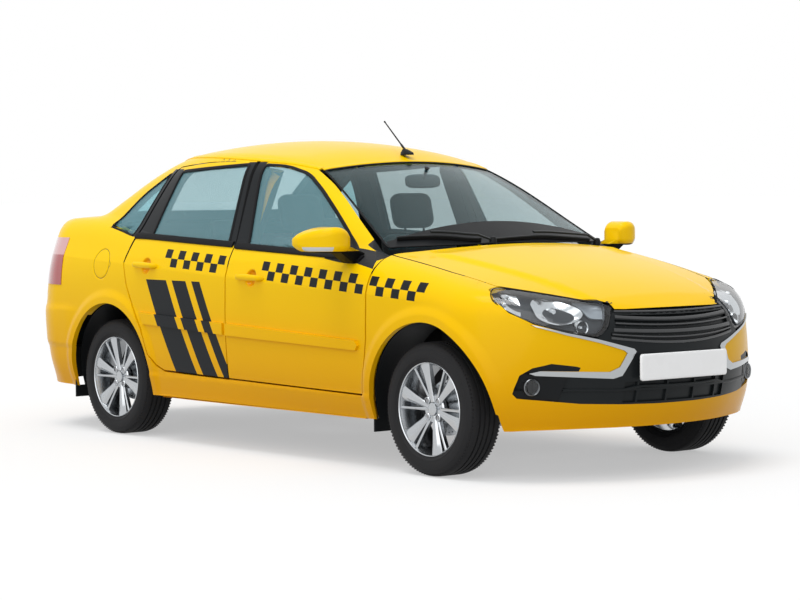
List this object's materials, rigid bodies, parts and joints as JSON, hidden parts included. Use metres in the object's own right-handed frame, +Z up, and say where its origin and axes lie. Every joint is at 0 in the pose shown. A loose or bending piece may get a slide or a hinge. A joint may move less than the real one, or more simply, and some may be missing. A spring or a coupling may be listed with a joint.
{
  "type": "sedan car",
  "caption": "Compact sedan taxi with opening hood, trunk lid and doors, steered front wheels, rolling tyres and a hollow cabin with seats and dashboard.",
  "frame": {"origin": "on the ground under the middle of the car's box", "axes": "+X forward along the car, +Y to the car's left, +Z up"},
  "size_m": [4.2681, 2.036, 1.5656],
  "materials": {
    "body_paint": "glossy warm yellow paint",
    "black_plastic": "fine grained black plastic",
    "window_glass": "tinted clear glass",
    "lamp_clear": "clear lamp cover over bright reflector",
    "lamp_red": "red lamp lens",
    "chrome": "bright chrome",
    "plate_white": "blank white plate",
    "alloy": "bright machined alloy",
    "tyre_rubber": "black rubber",
    "underbody": "dark underbody coating",
    "engine_metal": "cast metal",
    "steel": "bare steel",
    "cabin_plastic": "dark grained cabin plastic",
    "seat_cloth": "dark grey woven cloth"
  },
  "bodies": {
    "body": {"fenders": "body_paint", "front_bumper": "body_paint", "rear_bumper": "body_paint", "body_sides": "body_paint", "roof_panel": "body_paint", "grille": "black_plastic", "wipers": "black_plastic", "antenna": "black_plastic", "arch_liners": "black_plastic", "fixed_glass": "window_glass", "headlamps": "lamp_clear", "fog_lamps": "lamp_clear", "tail_lamps": "lamp_red", "chrome_trim": "chrome", "number_plate": "plate_white", "floor_pan": "underbody", "fuel_tank": "underbody", "engine": "engine_metal", "exhaust": "steel", "front_suspension": "steel", "rear_axle": "steel", "dashboard": "cabin_plastic", "front_seats": "seat_cloth", "rear_bench": "seat_cloth"},
    "hood": {"hood": "body_paint"},
    "trunk_lid": {"trunk_lid": "body_paint"},
    "steering_wheel": {"steering_wheel": "cabin_plastic"},
    "front_door_right": {"door_front_right": "body_paint", "glass_front_right": "window_glass", "mirror_right": "body_paint"},
    "rear_door_right": {"door_rear_right": "body_paint", "glass_rear_right": "window_glass"},
    "knuckle_right": {"knuckle_right": "steel"},
    "wheel_front_right": {"tyre_front_right": "tyre_rubber", "rim_front_right": "alloy"},
    "wheel_rear_right": {"tyre_rear_right": "tyre_rubber", "rim_rear_right": "alloy"},
    "front_door_left": {"door_front_left": "body_paint", "glass_front_left": "window_glass", "mirror_left": "body_paint"},
    "rear_door_left": {"door_rear_left": "body_paint", "glass_rear_left": "window_glass"},
    "knuckle_left": {"knuckle_left": "steel"},
    "wheel_front_left": {"tyre_front_left": "tyre_rubber", "rim_front_left": "alloy"},
    "wheel_rear_left": {"tyre_rear_left": "tyre_rubber", "rim_rear_left": "alloy"}
  },
  "joints": [
    {"name": "front_door_right_hinge", "type": "hinge", "parent": "body", "child": "front_door_right", "pos_m": [1.009, -0.836, 0.6], "axis": [0, 0, 1], "range_deg": [0, 68]},
    {"name": "rear_door_right_hinge", "type": "hinge", "parent": "body", "child": "rear_door_right", "pos_m": [-0.052, -0.846, 0.6], "axis": [0, 0, 1], "range_deg": [0, 68]},
    {"name": "front_door_left_hinge", "type": "hinge", "parent": "body", "child": "front_door_left", "pos_m": [1.009, 0.836, 0.6], "axis": [0, 0, -1], "range_deg": [0, 68]},
    {"name": "rear_door_left_hinge", "type": "hinge", "parent": "body", "child": "rear_door_left", "pos_m": [-0.052, 0.846, 0.6], "axis": [0, 0, -1], "range_deg": [0, 68]},
    {"name": "hood_hinge", "type": "hinge", "parent": "body", "child": "hood", "pos_m": [0.978, 0, 0.948], "axis": [0, -1, 0], "range_deg": [0, 52]},
    {"name": "trunk_lid_hinge", "type": "hinge", "parent": "body", "child": "trunk_lid", "pos_m": [-1.494, 0, 1.102], "axis": [0, 1, 0], "range_deg": [0, 72]},
    {"name": "steer_right", "type": "hinge", "parent": "body", "child": "knuckle_right", "pos_m": [1.384, -0.64, 0.29], "axis": [0, 0, 1], "range_deg": [-34, 34]},
    {"name": "steer_left", "type": "hinge", "parent": "body", "child": "knuckle_left", "pos_m": [1.384, 0.64, 0.29], "axis": [0, 0, 1], "range_deg": [-34, 34]},
    {"name": "steering_wheel_turn", "type": "hinge", "parent": "body", "child": "steering_wheel", "pos_m": [0.585, 0.35, 0.83], "axis": [-0.8988, 0, 0.4384], "range_deg": [-550, 550]},
    {"name": "wheel_front_right_spin", "type": "hinge", "parent": "knuckle_right", "child": "wheel_front_right", "pos_m": [1.384, -0.715, 0.29], "axis": [0, 1, 0], "continuous": true},
    {"name": "wheel_front_left_spin", "type": "hinge", "parent": "knuckle_left", "child": "wheel_front_left", "pos_m": [1.384, 0.715, 0.29], "axis": [0, 1, 0], "continuous": true},
    {"name": "wheel_rear_right_spin", "type": "hinge", "parent": "body", "child": "wheel_rear_right", "pos_m": [-1.092, -0.707, 0.29], "axis": [0, 1, 0], "continuous": true},
    {"name": "wheel_rear_left_spin", "type": "hinge", "parent": "body", "child": "wheel_rear_left", "pos_m": [-1.092, 0.707, 0.29], "axis": [0, 1, 0], "continuous": true}
  ],
  "couplings": [
    {"joint": "steer_left", "follows": "steer_right", "ratio": 1},
    {"joint": "steering_wheel_turn", "follows": "steer_right", "ratio": 16}
  ]
}
